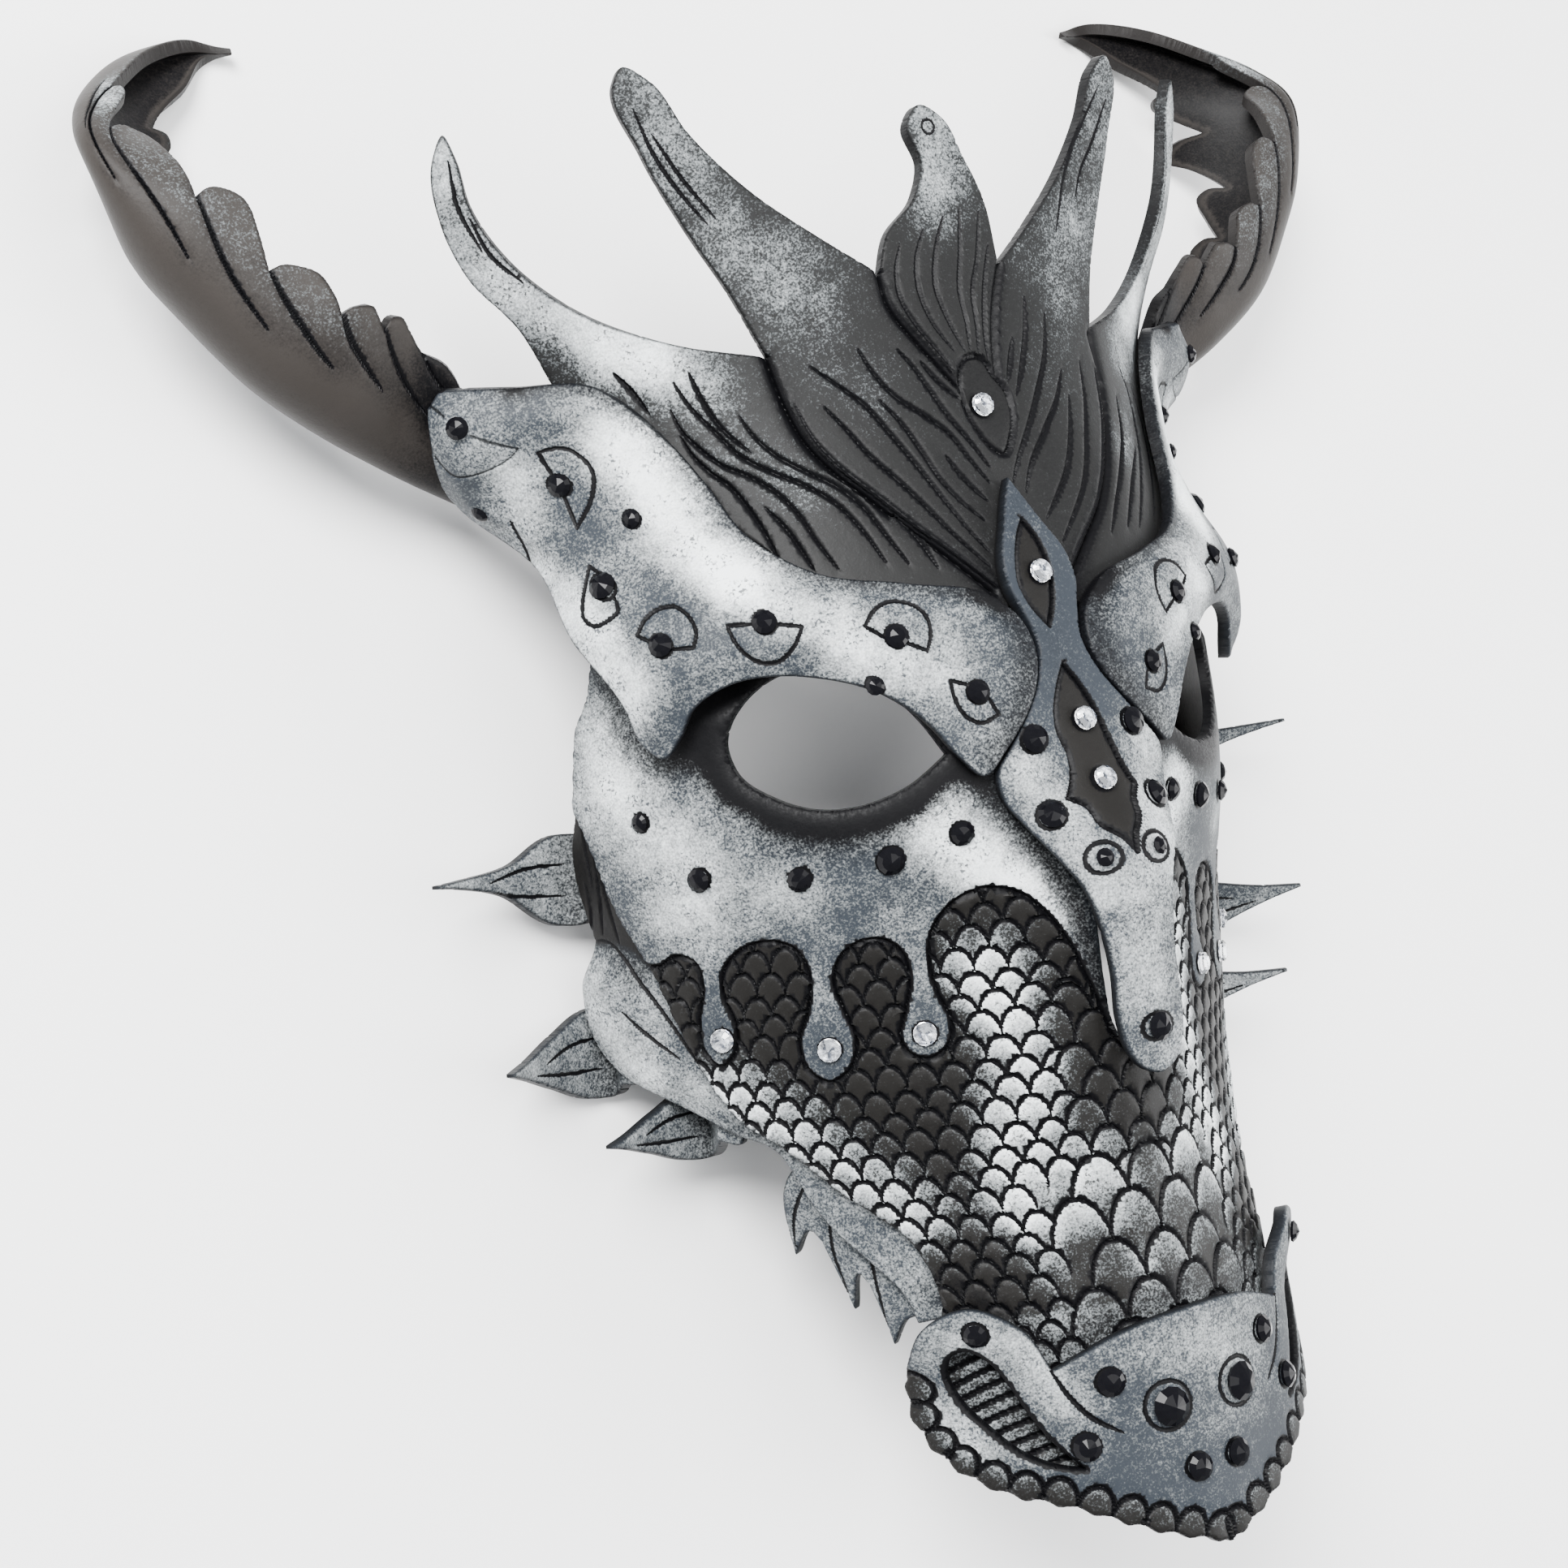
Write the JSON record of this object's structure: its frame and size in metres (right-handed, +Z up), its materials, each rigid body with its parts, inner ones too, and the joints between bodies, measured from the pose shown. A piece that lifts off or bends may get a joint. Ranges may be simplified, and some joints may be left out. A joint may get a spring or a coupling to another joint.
{
  "type": "dragon mask",
  "caption": "Layered carved leather dragon mask with curled horns, a spiked crest, scaled cheeks and set stones, lying face up.",
  "frame": {"origin": "centre of the bounding box at the table the mask lies on", "axes": "+Z up, out of the mask's face; +Y towards the tips of the crest; +X to the right of the face as the viewer sees it"},
  "size_m": [0.3268, 0.3609, 0.1036],
  "materials": {
    "silver_leather": "carved leather with silver paint brushed over black grooves",
    "dark_leather": "carved leather, black-brown with a light silver brushing",
    "black_stone": "polished black faceted stone",
    "clear_stone": "clear faceted crystal"
  },
  "bodies": {
    "root": {"brow_left": "silver_leather", "brow_right": "silver_leather", "cheek_stone_left_1": "black_stone", "cheek_stone_left_2": "black_stone", "cheek_stone_left_3": "black_stone", "cheek_stone_left_4": "black_stone", "cheek_stone_left_5": "black_stone", "cheek_stone_left_6": "clear_stone", "cheek_stone_left_7": "clear_stone", "cheek_stone_left_8": "clear_stone", "cheek_stone_right_1": "black_stone", "cheek_stone_right_2": "black_stone", "cheek_stone_right_3": "black_stone", "cheek_stone_right_4": "black_stone", "cheek_stone_right_5": "black_stone", "cheek_stone_right_6": "clear_stone", "cheek_stone_right_7": "clear_stone", "cheek_stone_right_8": "clear_stone", "crest": "dark_leather", "crest_stone": "clear_stone", "face_shell": "silver_leather", "horn_left": "dark_leather", "horn_right": "dark_leather", "jaw_frill_left": "silver_leather", "jaw_frill_right": "silver_leather", "jaw_spike_left_1": "silver_leather", "jaw_spike_left_2": "silver_leather", "jaw_spike_left_3": "silver_leather", "jaw_spike_right_1": "silver_leather", "jaw_spike_right_2": "silver_leather", "jaw_spike_right_3": "silver_leather", "jaw_strip_left": "silver_leather", "jaw_strip_right": "silver_leather", "nose_strap": "silver_leather", "snout_plate": "silver_leather", "snout_stone_left_1": "black_stone", "snout_stone_left_2": "black_stone", "snout_stone_left_3": "black_stone", "snout_stone_left_4": "black_stone", "snout_stone_left_5": "black_stone", "snout_stone_right_1": "black_stone", "snout_stone_right_2": "black_stone", "snout_stone_right_3": "black_stone", "snout_stone_right_4": "black_stone", "snout_stone_right_5": "black_stone", "strap_stone_left_1": "black_stone", "strap_stone_left_2": "black_stone", "strap_stone_left_3": "black_stone", "strap_stone_middle_1": "clear_stone", "strap_stone_middle_2": "clear_stone", "strap_stone_middle_3": "clear_stone", "strap_stone_middle_4": "black_stone", "strap_stone_right_1": "black_stone", "strap_stone_right_2": "black_stone", "strap_stone_right_3": "black_stone"}
  },
  "joints": []
}
